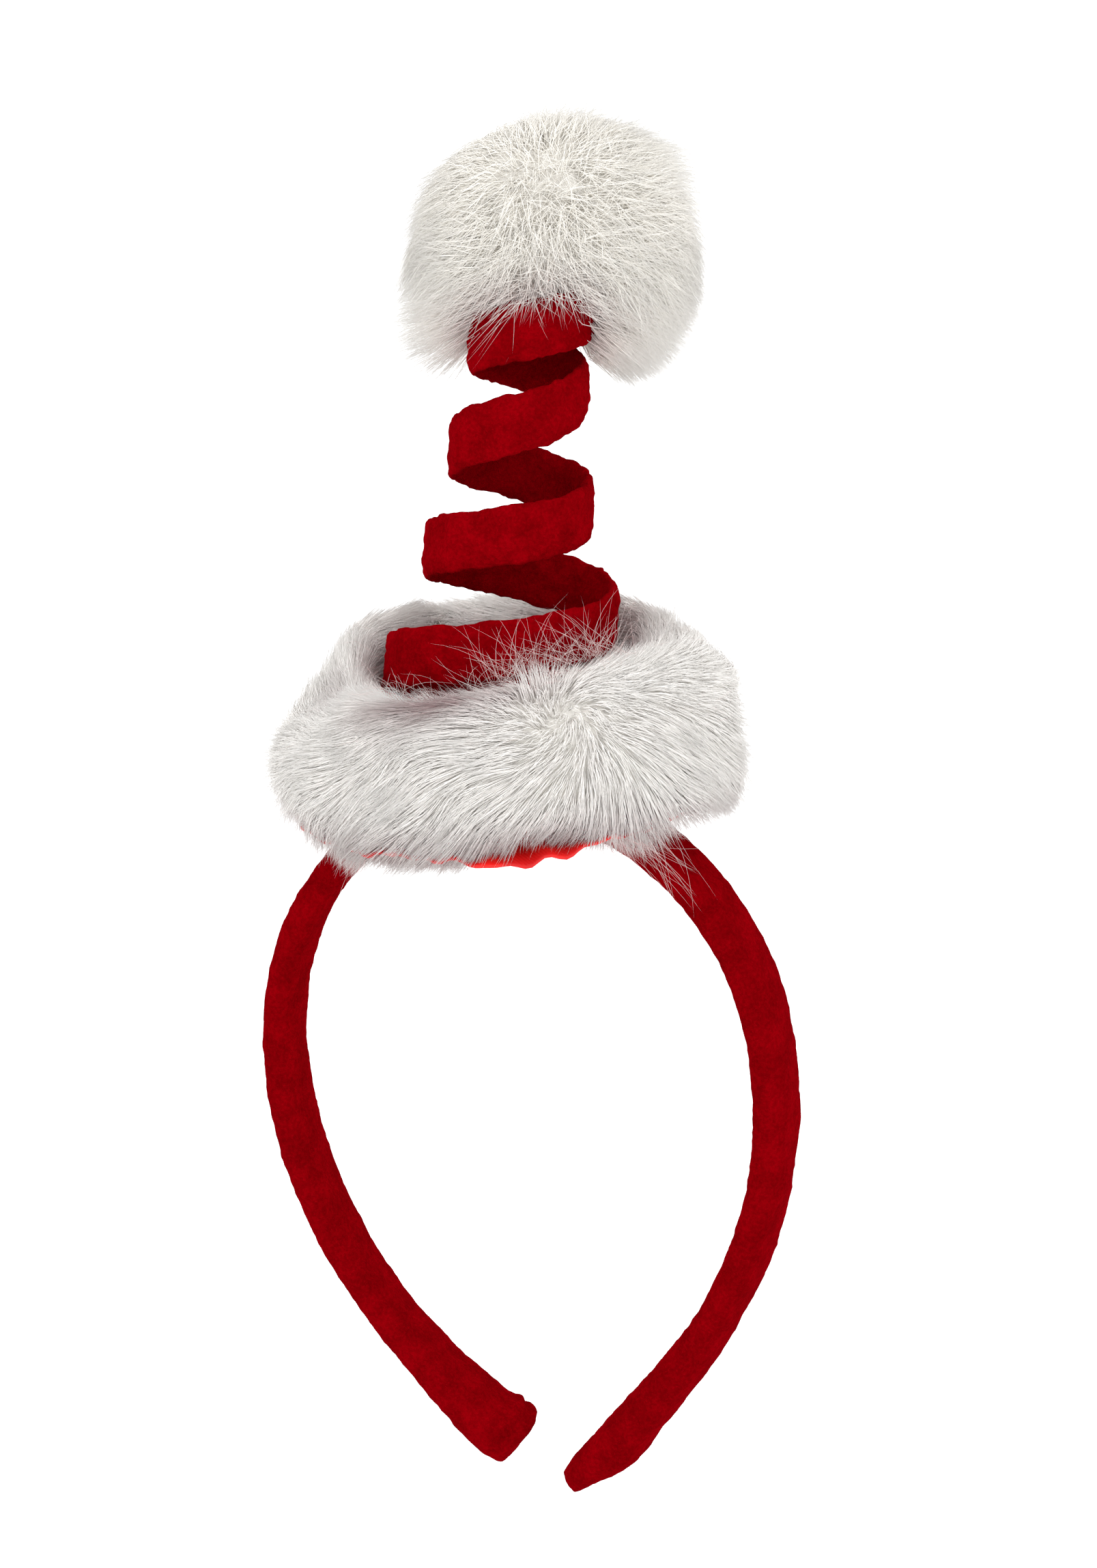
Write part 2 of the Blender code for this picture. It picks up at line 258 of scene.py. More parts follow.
def hair_group():
    """A hair's colour from its root to its tip, with its own share of lightness, and painted red light and
    shade where it lies near the red cloth or under the strap's sewn end."""
    tree, start, end = new_group(
        "hair_tone",
        [
            ("Root", "NodeSocketColor", (0.5, 0.5, 0.5, 1)),
            ("Middle", "NodeSocketColor", (0.7, 0.7, 0.7, 1)),
            ("Tip", "NodeSocketColor", (0.9, 0.9, 0.9, 1)),
            ("Red Light And Shade", "NodeSocketColor", (0.6, 0.4, 0.4, 1)),
        ],
        [("Color", "NodeSocketColor")],
    )
    along = add_node(tree, "ShaderNodeAttribute", attribute_name="along").outputs["Fac"]
    chance = add_node(tree, "ShaderNodeAttribute", attribute_name="chance").outputs["Fac"]
    lower = mix_colours(tree, ranged(tree, along, 0.0, 0.45), start.outputs["Root"], start.outputs["Middle"])
    whole = mix_colours(tree, ranged(tree, along, 0.35, 1.0), lower, start.outputs["Tip"])
    shade = add_node(tree, "ShaderNodeHueSaturation")
    tree.links.new(ranged(tree, chance, 0.0, 1.0, 0.95, 1.01), shade.inputs["Value"])
    tree.links.new(whole, shade.inputs["Color"])
    # Mixes in the painted red light and shade by each point's share of them
    red_light_and_shade = add_node(tree, "ShaderNodeAttribute", attribute_name="red_light_and_shade").outputs["Fac"]
    with_red_light_and_shade = mix_colours(tree, red_light_and_shade, shade.outputs["Color"], start.outputs["Red Light And Shade"])
    tree.links.new(with_red_light_and_shade, end.inputs["Color"])
    return tree


def new_material(name, settings):
    """A material with constant values set on its shader, its node tree and that shader."""
    made = bpy.data.materials.new(name)
    made.use_nodes = True
    shader = made.node_tree.nodes["Principled BSDF"]
    for socket, value in settings.items():
        shader.inputs[socket].default_value = value
    return made, made.node_tree, shader


def place_group(tree, group, colours):
    """Places a shared group in a material, with its own colours."""
    node = add_node(tree, "ShaderNodeGroup", node_tree=group)
    for socket, colour in colours.items():
        node.inputs[socket].default_value = (*colour, 1)
    return node


def add_bump(tree, height, shader, strength, distance):
    bump = add_node(tree, "ShaderNodeBump")
    bump.inputs["Strength"].default_value = strength
    bump.inputs["Distance"].default_value = distance
    tree.links.new(height, bump.inputs["Height"])
    tree.links.new(bump.outputs["Normal"], shader.inputs["Normal"])


def velvet(name, deep, lit, tip):
    """Matt velvet: crushed pile with hardly any sheen."""
    made, tree, shader = new_material(
        name,
        {
            "Sheen Weight": 0.06,
            "Sheen Roughness": 0.35,
            "Sheen Tint": (1, 0.02, 0.04, 1),
            "Specular IOR Level": 0.0,
        },
    )
    pile = place_group(tree, PILE, {"Deep": deep, "Lit": lit, "Tip": tip})
    tree.links.new(pile.outputs["Color"], shader.inputs["Base Color"])
    tree.links.new(pile.outputs["Roughness"], shader.inputs["Roughness"])
    add_bump(tree, pile.outputs["Height"], shader, 0.55, 0.0006)
    return made


def fur(name, root, middle, tip, red_light_and_shade):
    """Pale, matt hair that passes most light on to the hairs beside it."""
    made, tree, shader = new_material(
        name,
        {
            "Roughness": 0.8,
            "Specular IOR Level": 0.15,
            "Sheen Weight": 0.5,
            "Sheen Roughness": 0.5,
            "Sheen Tint": (1, 0.97, 0.93, 1),
        },
    )
    tone = place_group(tree, HAIR, {"Root": root, "Middle": middle, "Tip": tip, "Red Light And Shade": red_light_and_shade})
    tree.links.new(tone.outputs["Color"], shader.inputs["Base Color"])
    return made


def satin(name, dark, light):
    """Bright woven satin: fine threads across the gathers, and slightly uneven dye."""
    made, tree, shader = new_material(name, {"Specular IOR Level": 0.3, "Anisotropic": 0.4})
    place = add_node(tree, "ShaderNodeTexCoord").outputs["Object"]
    threads = add_node(tree, "ShaderNodeTexWave", wave_type="BANDS", bands_direction="DIAGONAL")
    threads.inputs["Scale"].default_value = 620
    threads.inputs["Distortion"].default_value = 1.2
    tree.links.new(place, threads.inputs["Vector"])
    dye = ranged(tree, noise_at(tree, place, 120), 0.35, 0.65)
    tree.links.new(two_tone(tree, dye, dark, light), shader.inputs["Base Color"])
    tree.links.new(ranged(tree, threads.outputs["Fac"], 0, 1, 0.30, 0.42), shader.inputs["Roughness"])
    add_bump(tree, threads.outputs["Fac"], shader, 0.25, 0.0001)
    return made


def backing(name, dark, light):
    """The knitted backing under the fur, painted grey as the shade deep in the fur."""
    made, tree, shader = new_material(name, {"Roughness": 0.95})
    place = add_node(tree, "ShaderNodeTexCoord").outputs["Object"]
    knit = noise_at(tree, place, 900, 2.0)
    tree.links.new(two_tone(tree, knit, dark, light), shader.inputs["Base Color"])
    add_bump(tree, knit, shader, 0.5, 0.0005)
    return made


PILE = pile_group()
HAIR = hair_group()
BAND_VELVET = velvet("band_velvet", (0.146, 0.0001, 0.0014), (0.200, 0.0001, 0.0020), (0.30, 0.0012, 0.005))
STRAP_VELVET = velvet("strap_velvet", (0.156, 0.0001, 0.0015), (0.214, 0.0001, 0.0022), (0.31, 0.0012, 0.005))
SATIN = satin("red_satin", (0.58, 0.006, 0.006), (0.85, 0.012, 0.009))
# The backing's grey is painted shade, deep in the fur where the hairs leave gaps
FUR_BACKING = backing("fur_backing", (0.62, 0.60, 0.56), (0.72, 0.70, 0.66))

# Painted red light: fur is painted redder near the red cloth, standing in for light that the cloth throws on
# # it. The pompom's is a light red, and the brim's a deeper one, which is also the painted shade under the
# strap's sewn end
RED_LIGHT = (0.36, 0.19, 0.20)
SHADE = (0.24, 0.10, 0.11)
# Each fur's roots are a touch darker than its tips, a faint painted shade deep in the fur
BRIM_FUR = fur("brim_fur", (0.97, 0.95, 0.925), (0.975, 0.955, 0.93), (0.985, 0.965, 0.94), SHADE)
# Loose hairs are painted pink throughout: painted red light as from the red cloth that most of them cross
STRAY_FUR = fur("stray_fur", (0.85, 0.66, 0.64), (0.86, 0.68, 0.66), (0.90, 0.76, 0.74), (0.66, 0.20, 0.21))
BALL_FUR = fur("pompom_fur", (0.965, 0.94, 0.885), (0.97, 0.945, 0.89), (0.98, 0.955, 0.905), RED_LIGHT)


# Velvet pieces, made from the CAD skins


def skin_of(node, name):
    """A copy of a CAD node's mesh as a new object, merged and with its triangles paired into quads."""
    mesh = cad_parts[node].data.copy()
    mesh.materials.clear()
    piece = bpy.data.objects.new(name, mesh)
    bpy.context.scene.collection.objects.link(piece)
    activate(piece)
    bpy.ops.mesh.customdata_custom_splitnormals_clear()
    bpy.ops.object.mode_set(mode="EDIT")
    bpy.ops.mesh.select_all(action="SELECT")
    bpy.ops.mesh.remove_doubles(threshold=0.01 * MM)
    bpy.ops.mesh.tris_convert_to_quads(face_threshold=math.radians(60), shape_threshold=math.radians(60))
    bpy.ops.object.mode_set(mode="OBJECT")
    return piece


def points_of(mesh):
    """A mesh's vertices and their normals, as arrays of rows."""
    places = np.empty(len(mesh.vertices) * 3, np.float32)
    normals = np.empty(len(mesh.vertices) * 3, np.float32)
    mesh.vertices.foreach_get("co", places)
    mesh.vertices.foreach_get("normal", normals)
    return places.reshape(-1, 3), normals.reshape(-1, 3)


def set_points(mesh, places):
    mesh.vertices.foreach_set("co", places.astype(np.float32).ravel())
    mesh.update()


def roughen(piece, waves, pile=0.0, pile_right=0.0):
    """Moves a skin in and out along its normals by smooth noise of each given width and height, and out by
    its pile, which may be deeper on the right."""
    places, normals = points_of(piece.data)
    moved = pile + (pile_right - pile) * np.clip(places[:, 0] / PILE_CHANGES_OVER, 0, 1)
    for width, height in waves:
        moved += [height * noise.noise(Vector(place) / width) for place in places.tolist()]
    places += normals * moved[:, None]
    set_points(piece.data, places)


def subdivide(piece, levels):
    smoother = piece.modifiers.new("smoother", "SUBSURF")
    smoother.levels = smoother.render_levels = levels
    finish_modifiers(piece)


# Depth of the band's pile on the left and on the right, and the widths and heights of each skin's unevenness
BAND_PILE = 0.12 * MM
BAND_PILE_RIGHT = 0.45 * MM
PILE_CHANGES_OVER = 10 * MM
BAND_WAVES = ((9 * MM, 0.35 * MM), (2.4 * MM, 0.24 * MM), (1.0 * MM, 0.14 * MM))
STRAP_WAVES = ((7 * MM, 0.5 * MM), (2.2 * MM, 0.46 * MM), (1.0 * MM, 0.20 * MM))
CORE_WAVES = ((6 * MM, 0.8 * MM), (2 * MM, 0.5 * MM))
HALF_WIDTH = (BAND_HIGH.y - BAND_LOW.y) / 2

# The left end: its middle, the band's direction there and the side of it that faces inwards, over what
# length it is puffed up, and the place, width and depth of the tuck inside it and of the fold in front
LEFT_END = Vector((-10.9, 0, -142.0)) * MM
LEFT_ALONG = Vector((0.74, 0, -0.67)).normalized()
LEFT_INWARD = Vector((-LEFT_ALONG.z, 0, LEFT_ALONG.x))
PUFF_LENGTH = 9 * MM
TUCK_PLACE, TUCK_WIDTH, TUCK_DEPTH = -2.6 * MM, 1.1 * MM, 1.5 * MM
FOLD_PLACE, FOLD_WIDTH, FOLD_DEPTH = -2.4 * MM, 1.0 * MM, 1.5 * MM

# The right end: the band's direction there and the side of it that faces outwards, how much longer it is
# made over what length, and the place, width and height of its bulge
RIGHT_ALONG = Vector((-0.62, 0, -0.785)).normalized()
RIGHT_OUTWARD = Vector((-RIGHT_ALONG.z, 0, RIGHT_ALONG.x))
RIGHT_LONGER, LONGER_OVER = 1.3 * MM, 8 * MM
BULGE_PLACE, BULGE_WIDTH, BULGE_HEIGHT = -12 * MM, 6 * MM, 1.6 * MM


def ridge(at, middle, width):
    """1 at one place, falling smoothly to 0 on both sides of it."""
    return np.exp(-(((at - middle) / width) ** 2))


def puff_left_end(band):
    """The cover is turned in at the left end: it swells inwards, most at the back, reaches further along in
    the middle than at the back, and has a tuck inside and a fold in front."""
    places, _ = points_of(band.data)
    from_end = places - np.array(LEFT_END)
    along, inward = from_end @ np.array(LEFT_ALONG), from_end @ np.array(LEFT_INWARD)
    near = np.clip(1 + along / PUFF_LENGTH, 0, 1) * (places[:, 0] < 0)
    near = near**2 * (3 - 2 * near)
    inner = near * np.clip(0.5 + inward / (4 * MM), 0, 1)
    across = np.clip(places[:, 1] / HALF_WIDTH, -1, 1)
    swell = inner * (0.6 + 1.7 * np.clip(across + 0.3, 0, 1.3)) * MM
    swell -= inner * ridge(along, TUCK_PLACE, TUCK_WIDTH) * np.clip(across + 0.6, 0, 1) * TUCK_DEPTH
    further = near * (1.1 * (1 - across**2) - 3.4 * np.clip(across, 0, 1) ** 2) * MM
    fold = near * ridge(along, FOLD_PLACE, FOLD_WIDTH) * np.clip(0.7 + inward / (5 * MM), 0, 1)
    places += swell[:, None] * np.array(LEFT_INWARD) + further[:, None] * np.array(LEFT_ALONG)
    places[:, 1] += fold * np.clip(0.5 - across, 0, 1) * FOLD_DEPTH
    set_points(band.data, places)


def shape_right_end(band):
    """The right end is a little longer than the solid's, and bulges on its outer side above its tip."""
    places, _ = points_of(band.data)
    right = places[:, 0] > 0
    tip = places[right][np.argmin(places[right][:, 2])]
    along, outer = (places - tip) @ np.array(RIGHT_ALONG), (places - tip) @ np.array(RIGHT_OUTWARD)
    further = np.clip(1 + along / LONGER_OVER, 0, 1) * right * RIGHT_LONGER
    bulge = ridge(along, BULGE_PLACE, BULGE_WIDTH) * np.clip(1 + outer / (5 * MM), 0, 1)
    bulge *= right * BULGE_HEIGHT
    places += further[:, None] * np.array(RIGHT_ALONG) + bulge[:, None] * np.array(RIGHT_OUTWARD)
    set_points(band.data, places)


def make_band():
    band = skin_of("headband", "band_cover")
    subdivide(band, 3)
    puff_left_end(band)
    shape_right_end(band)
    roughen(band, BAND_WAVES, BAND_PILE, BAND_PILE_RIGHT)
    band.data.shade_smooth()
    band.data.materials.append(BAND_VELVET)
    return ride_on_root(band, "velvet", "headband")


def make_strap():
    strap = skin_of("spring_strap", "strap_cover")
    subdivide(strap, 3)
    roughen(strap, STRAP_WAVES)
    strap.data.shade_smooth()
    strap.data.materials.append(STRAP_VELVET)
    return ride_on_root(strap, "velvet", "spring_strap")


# The satin: its gathers' height and sideways swing at the edge, and how far it sags at the front
GATHER_HEIGHT = 0.75 * MM
GATHER_SWING = 0.5 * MM
SATIN_SAG = 2.4 * MM
SAG_MIDDLE = FACING + math.radians(1)
SAG_WIDTH = math.radians(15)


def make_base():
    """Satin base: the cloth is gathered towards its edge, so it folds more the further out it lies."""
    base = skin_of("hat_base", "satin_base")
    subdivide(base, 2)
    places, _ = points_of(base.data)
    flat = places[:, :2] - np.array(BRIM_CENTRE[:2])
    reach = np.hypot(flat[:, 0], flat[:, 1])
    angle = np.arctan2(flat[:, 1], flat[:, 0])
    share = np.clip((reach - 0.5 * BASE_RADIUS) / (0.5 * BASE_RADIUS), 0, 1)
    narrow = np.sin(46 * angle + 2.2 * np.sin(3 * angle))
    broad = np.sin(23 * angle + 1.7 * np.sin(5 * angle))
    places[:, 2] += (narrow * 0.45 + broad * 0.55) * share**2 * GATHER_HEIGHT
    places[:, 2] -= bell(angle, SAG_MIDDLE, SAG_WIDTH) * share**4 * SATIN_SAG
    swing = np.sin(31 * angle) * share**2 * GATHER_SWING
    places[:, :2] += flat / np.maximum(reach, MM)[:, None] * swing[:, None]
    set_points(base.data, places)
    base.data.shade_smooth()
    base.data.materials.append(SATIN)
    return ride_on_root(base, "satin", "hat_base")


# Hair


def tree_of(*nodes):
    """A search tree of the faces of some CAD nodes."""
    corners, faces = [], []
    for node in nodes:
        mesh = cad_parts[node].data
        faces += [[len(corners) + index for index in face.vertices] for face in mesh.polygons]
        corners += [vertex.co.copy() for vertex in mesh.vertices]
    return bvhtree.BVHTree.FromPolygons(corners, faces)


RED_CLOTH = tree_of("headband", "spring_strap", "hat_base")
STRAP_CLOTH = tree_of("spring_strap")
# Painted red light from the red cloth: how far it reaches, and its largest share of a hair's colour
RED_LIGHT_REACH = 8.5 * MM
RED_LIGHT_MOST = 0.6


def red_nearby(places):
    """How much painted red light from the red cloth falls on each place: most on it, and none out of its
    reach.
    """
    found = [RED_CLOTH.find_nearest(place, RED_LIGHT_REACH)[3] for place in places.tolist()]
    away = np.array([RED_LIGHT_REACH if distance is None else distance for distance in found])
    return RED_LIGHT_MOST * (1 - away / RED_LIGHT_REACH) ** 1.2


def unit(rows):
    """The same directions with length 1."""
    return rows / (np.linalg.norm(rows, axis=-1, keepdims=True) + 1e-12)


def hair_mesh(name, lines, widths, finish, chance, shaded=0.0, red_light_taken=1.0):
    """One mesh of closed tapered hairs. lines is hairs by points by 3: each hair runs from its root to a
    single point at its tip. shaded is the least share of painted red shade in each hair's colour, and
    red_light_taken how much of the painted red light from the cloth nearby it takes."""
    count, points = lines.shape[:2]
    along = np.linspace(0, 1, points)
    step = unit(np.gradient(lines, axis=1))
    aside = unit(np.cross(step, chance.normal(0, 1, (count, 1, 3))))
    other = np.cross(step, aside)
    taper = np.sqrt(1 - along[:-1] ** 2)
    rings = []
    for side in range(HAIR_SIDES):
        turn = 2 * math.pi * side / HAIR_SIDES
        spread = aside[:, :-1] * math.cos(turn) + other[:, :-1] * math.sin(turn)
        rings.append(lines[:, :-1] + spread * (widths[:, None, None] / 2 * taper[None, :, None]))
    body = np.stack(rings, axis=2).reshape(count, -1, 3)
    places = np.concatenate([body, lines[:, -1:, :]], axis=1)
    each = places.shape[1]
    faces = [tuple(range(HAIR_SIDES))]
    for ring in range(points - 2):
        for side in range(HAIR_SIDES):
            low, beside = ring * HAIR_SIDES + side, ring * HAIR_SIDES + (side + 1) % HAIR_SIDES
            up, up_beside = low + HAIR_SIDES, beside + HAIR_SIDES
            faces += [(low, up, up_beside), (low, up_beside, beside)]
    last = (points - 2) * HAIR_SIDES
    for side in range(HAIR_SIDES):
        faces.append((last + side, each - 1, last + (side + 1) % HAIR_SIDES))
    whole = (np.array(faces)[None] + (np.arange(count) * each)[:, None, None]).reshape(-1, 3)
    mesh = bpy.data.meshes.new(name)
    mesh.vertices.add(count * each)
    mesh.loops.add(whole.size)
    mesh.polygons.add(len(whole))
    mesh.vertices.foreach_set("co", places.astype(np.float32).ravel())
    mesh.loops.foreach_set("vertex_index", whole.astype(np.int32).ravel())
    mesh.polygons.foreach_set("loop_start", np.arange(0, whole.size, 3, dtype=np.int32))
    mesh.polygons.foreach_set("loop_total", np.full(len(whole), 3, dtype=np.int32))
    reach = np.tile(np.concatenate([np.repeat(along[:-1], HAIR_SIDES), [1.0]]), count)
    tone = np.repeat(chance.uniform(0, 1, count), each)
    # Painted red light from the cloth nearby, raised to at least each hair's painted shade
    red_light_and_shade = red_nearby(places.reshape(-1, 3)) * red_light_taken
    red_light_and_shade = np.maximum(red_light_and_shade, np.repeat(np.broadcast_to(shaded, count), each))
    for label, values in (("along", reach), ("chance", tone), ("red_light_and_shade", red_light_and_shade)):
        mesh.attributes.new(label, "FLOAT", "POINT").data.foreach_set("value", values.astype(np.float32))
    mesh.update()
    mesh.shade_smooth()
    mesh.materials.append(finish)
    piece = bpy.data.objects.new(name, mesh)
    bpy.context.scene.collection.objects.link(piece)
    return ride_on_root(piece, "fur")


def curved(roots, bends, tips, points):
    """Lines from root to tip that set out towards their bend, as hairs by points by 3."""
    share = np.linspace(0, 1, points)[None, :, None]
    return (
        roots[:, None] * (1 - share) ** 2
        + bends[:, None] * 2 * share * (1 - share)
        + tips[:, None] * share**2
    )


def hair_widths(width, count, chance):
    return width * chance.uniform(0.7, 1.3, count)


# The fur's locks, the small ones first: how many hairs each has, how much they are drawn together, and how
# much some locks are longer than others
BRIM_LOCKS = ((20, 0.14, 0.0), (90, 0.28, 4.0 * MM))
BALL_LOCKS = ((20, 0.12, 0.0), (60, 0.28, 6.0 * MM))


def clumped(roots, tips, locks, chance):
    """Draws tips together into locks: each hair leans to the tip of the nearest of some chosen hairs, which
    may be longer or shorter than the rest."""
    for hairs, pull, ragged in locks:
        count = len(roots) // hairs
        chosen = chance.choice(len(roots), count, replace=False)
        tree = kdtree.KDTree(count)
        for n, index in enumerate(chosen):
            tree.insert(roots[index], n)
        tree.balance()
        nearest = np.array([tree.find(root)[1] for root in roots.tolist()])
        strength = (pull * chance.uniform(0.3, 1.0, count))[nearest][:, None]
        longer = unit(tips[chosen] - roots[chosen]) * chance.normal(0, ragged, count)[:, None]
        tips = tips + ((tips[chosen] + longer)[nearest] - tips) * strength
    return tips


# The brim's fur leans away from a whorl right of its front: where that is, how fast the fur turns away from
# it round the brim and down its section, how much it curls, how far the hairs lean round and down, and how
# unevenly they end. Angles are measured from where the brim faces the camera.
PARTING = FACING + math.radians(17)
WHORL_SHARE = 0.46
WHORL_ROUND, WHORL_DOWN = 4.6, 6.0
WHORL_TURN = 0.9
LEAN_ROUND = math.radians(19)
LEAN_DOWN = 0.20
TIP_SCATTER = 1.25 * MM

# From so far round its section it hangs over the base's edge, so far down and out, except at the front,
# where most of it ends sooner and the satin shows
HANG_FROM, HANG_OVER = 0.6, 0.35
FUR_HANG = 6.6 * MM
HANG_OUT = 0.8 * MM
SATIN_SHOWS = FACING + math.radians(6)
SATIN_WIDTH = math.radians(21)
ENDING_SOONER = 0.94

# Under the strap's sewn end it is pressed down, and its hairs are painted with a red shade there
PRESSED, PRESSED_WIDTH = FACING - math.radians(30), math.radians(32)
SHADED, SHADED_WIDTH = FACING - math.radians(13), math.radians(22)
SHADED_SHARE, SHADED_SPREAD = 0.31, 0.12

# Where the fur's outer form differs from an even ring: how far round from the side that faces the camera
# and over what width, in degrees, where in the section and over what width, and mm outwards and upwards
BRIM_SHAPE = (
    (70, 30, 0.80, 0.28, 6.4, 0.4),
    (50, 24, 1.00, 0.16, 0.0, 3.4),
    (86, 36, 0.50, 0.18, -4.6, 0.0),
    (70, 16, 0.74, 0.08, -4.0, 0.0),
    (60, 18, 0.48, 0.10, 2.4, 2.2),
    (77, 12, 0.44, 0.08, 3.4, 2.2),
    (80, 14, 0.59, 0.07, 4.4, 1.2),
    (86, 30, 0.26, 0.16, 0.4, -2.6),
    (140, 26, 0.14, 0.24, -1.0, -2.4),
    (-82, 28, 0.36, 0.24, -6.6, -6.6),
    (-106, 20, 0.47, 0.14, -4.8, -3.4),
    (-82, 14, 0.62, 0.08, -1.2, 0.0),
    (-80, 32, 0.80, 0.18, 2.8, 0.0),
    (-80, 26, 1.00, 0.20, -1.4, 5.0),
    (-30, 18, 1.00, 0.20, 0.0, 2.6),
    (-30, 30, 0.10, 0.26, 1.0, -5.6),
    (4, 13, 1.00, 0.18, 0.0, 2.2),
    (-174, 30, 0.22, 0.30, 0.0, -2.4),
)


def section_at(table, share):
    """Reads a section's table at shares from 0 to 1 of its way round."""
    rows = np.array(table)
    at = np.clip(share, 0, 1) * (len(rows) - 1)
    places = np.arange(len(rows))
    return np.interp(at, places, rows[:, 0]), np.interp(at, places, rows[:, 1])


def brim_places(table, angle, share, lift=0.0):
    """Points of the brim's fur at angles round it and shares of the way round its section: an even ring,
    changed by the rows of the fur's shape."""
    out, up = section_at(table, share)
    reach, height = WALL_OUTER + out * FUR_DEPTH + lift, FUR_FOOT + up * FUR_HEIGHT
    for middle, width, place, spread, outwards, upwards in BRIM_SHAPE:
        weight = bell(angle, FACING + math.radians(middle), math.radians(width))
        weight *= ridge(share, place, spread)
        reach = reach + weight * outwards * MM
        height = height + weight * upwards * MM
    x = BRIM_CENTRE.x + np.cos(angle) * reach
    y = BRIM_CENTRE.y + np.sin(angle) * reach
    return np.stack([x, y, height], axis=1)


def brim_tips(angle, share, lift=0.0):
    """Where the brim's hairs end. The lowest hang over the base's edge, except where the satin shows."""
    low = np.clip((share - HANG_FROM) / HANG_OVER, 0, 1) ** 2
    covered = 1 - ENDING_SOONER * bell(angle, SATIN_SHOWS, SATIN_WIDTH)
    places = brim_places(TIP_SECTION, angle, share, lift + covered * low * HANG_OUT)
    places[:, 2] -= covered * low * FUR_HANG
    return places


def flow_noise(angle, share, phase):
    """Slow waves over the brim's fur, from -1 to 1."""
    waves = np.sin(3 * angle + 5 * share + phase)
    waves += np.sin(7 * angle - 9 * share + 2.3 * phase)
    waves += 0.6 * np.sin(13 * angle + 17 * share + 4.1 * phase)
    return waves / 2.6


def brim_hairs(count, chance):
    """Angle, root, bend, tip and share of painted red shade of each of the brim's hairs."""
    angle = chance.uniform(-math.pi, math.pi, count)
    share = chance.uniform(0, 1, count)
    roots = brim_places(ROOT_SECTION, angle, share)
    across, down = WHORL_ROUND * np.sin(wrapped(angle - PARTING)), WHORL_DOWN * (share - WHORL_SHARE)
    from_whorl = across**2 + down**2
    turn = WHORL_TURN / (1 + from_whorl * 0.6) + 0.55 * flow_noise(angle, share, 1.0)
    turn += 0.35 * flow_noise(2 * angle, 2 * share, 2.6)
    length = (0.8 + 0.25 * flow_noise(angle, share, 4.4)) / np.sqrt(from_whorl + 0.9)
    sweep = LEAN_ROUND * length * (across * np.cos(turn) - down * np.sin(turn))
    fall = LEAN_DOWN * length * (across * np.sin(turn) + down * np.cos(turn)) + 0.03
    fall += 0.36 * bell(angle, PRESSED, PRESSED_WIDTH) * np.clip(1 - 1.6 * share, 0, 1)
    lift = BRIM_LOCK * chance.normal(-0.1, 0.28, count)
    tips = brim_tips(angle + sweep, share + fall, lift) + chance.normal(0, TIP_SCATTER, (count, 3))
    tips = clumped(roots, tips, BRIM_LOCKS, chance)
    straight = brim_tips(angle + sweep * 0.3, share + fall * 0.3)
    bends = roots + (straight - roots) * 0.75
    # Painted shade under the strap's sewn end, by place round the brim and in its section
    shaded = bell(angle, SHADED, SHADED_WIDTH) * ridge(share, SHADED_SHARE, SHADED_SPREAD)
    return angle, roots, bends, tips, shaded * chance.uniform(0.65, 1.0, count)


def make_brim_backing():
    """The ring of backing that the brim's hairs grow from."""
    steps, around = 40, 96
    share = np.linspace(0, 1, steps)
    rows = []
    for n in range(around):
        rows.append(brim_places(ROOT_SECTION, np.full(steps, 2 * math.pi * n / around), share))
    faces = []
    for n in range(around):
        for k in range(steps):
            first, second = n * steps + k, (n + 1) % around * steps + k
            onward = (k + 1) % steps - k
            faces.append((first, second, second + onward, first + onward))
    mesh = bpy.data.meshes.new("brim_backing")
    mesh.from_pydata(np.array(rows).reshape(-1, 3).tolist(), [], faces)
    mesh.shade_smooth()
    mesh.materials.append(FUR_BACKING)
    piece = bpy.data.objects.new("brim_backing", mesh)
    bpy.context.scene.collection.objects.link(piece)
    activate(piece)
    bpy.ops.object.mode_set(mode="EDIT")
    bpy.ops.mesh.select_all(action="SELECT")
    bpy.ops.mesh.normals_make_consistent(inside=False)
    bpy.ops.object.mode_set(mode="OBJECT")
    return ride_on_root(piece, "fur", "fur_brim")


def make_brim_fur(count):
    """The brim's fur in four quarters, the first of which faces the camera."""
    chance = np.random.default_rng(SEED)
    angle, roots, bends, tips, shaded = brim_hairs(count, chance)
    widths = hair_widths(HAIR_WIDTH, count, chance)
    quarter = ((angle - FACING + math.pi / 4) % (2 * math.pi) // (math.pi / 2)).astype(int)
    for n, label in enumerate(("front", "right", "back", "left")):
        mine = quarter == n
        lines = curved(roots[mine], bends[mine], tips[mine], HAIR_POINTS)
        hair_mesh(f"brim_fur_{label}", lines, widths[mine], BRIM_FUR, chance, shaded[mine])


def ball_frame():
    """Centre of the pompom's ball, and its side, back and upward directions."""
    up = Vector((math.tan(COIL_LEAN_SIDE), math.tan(COIL_LEAN_BACK), 1)).normalized()
    back = Vector((0, 1, 0))
    back = (back - up * back.dot(up)).normalized()
    return (BALL_LOW + BALL_HIGH) / 2, back.cross(up), back, up


# Where the pompom's fur is fuller or flatter than a ball, seen from the front: shares of its radius
# sideways and up, and mm outwards. The first two are the tufts that hang on both sides of the coil.
POMPOM_SHAPE = (
    (-0.80, -0.60, 8.0),
    (0.66, -0.76, 2.6),
    (0.85, -0.50, 1.4),
    (0.28, -0.92, -3.0),
    (-0.92, -0.38, 4.6),
    (-1.00, -0.02, -3.0),
    (-0.56, 0.78, -4.2),
    (0.10, 0.98, 0.2),
    (0.98, -0.08, -2.0),
    (0.88, 0.46, 4.6),
)

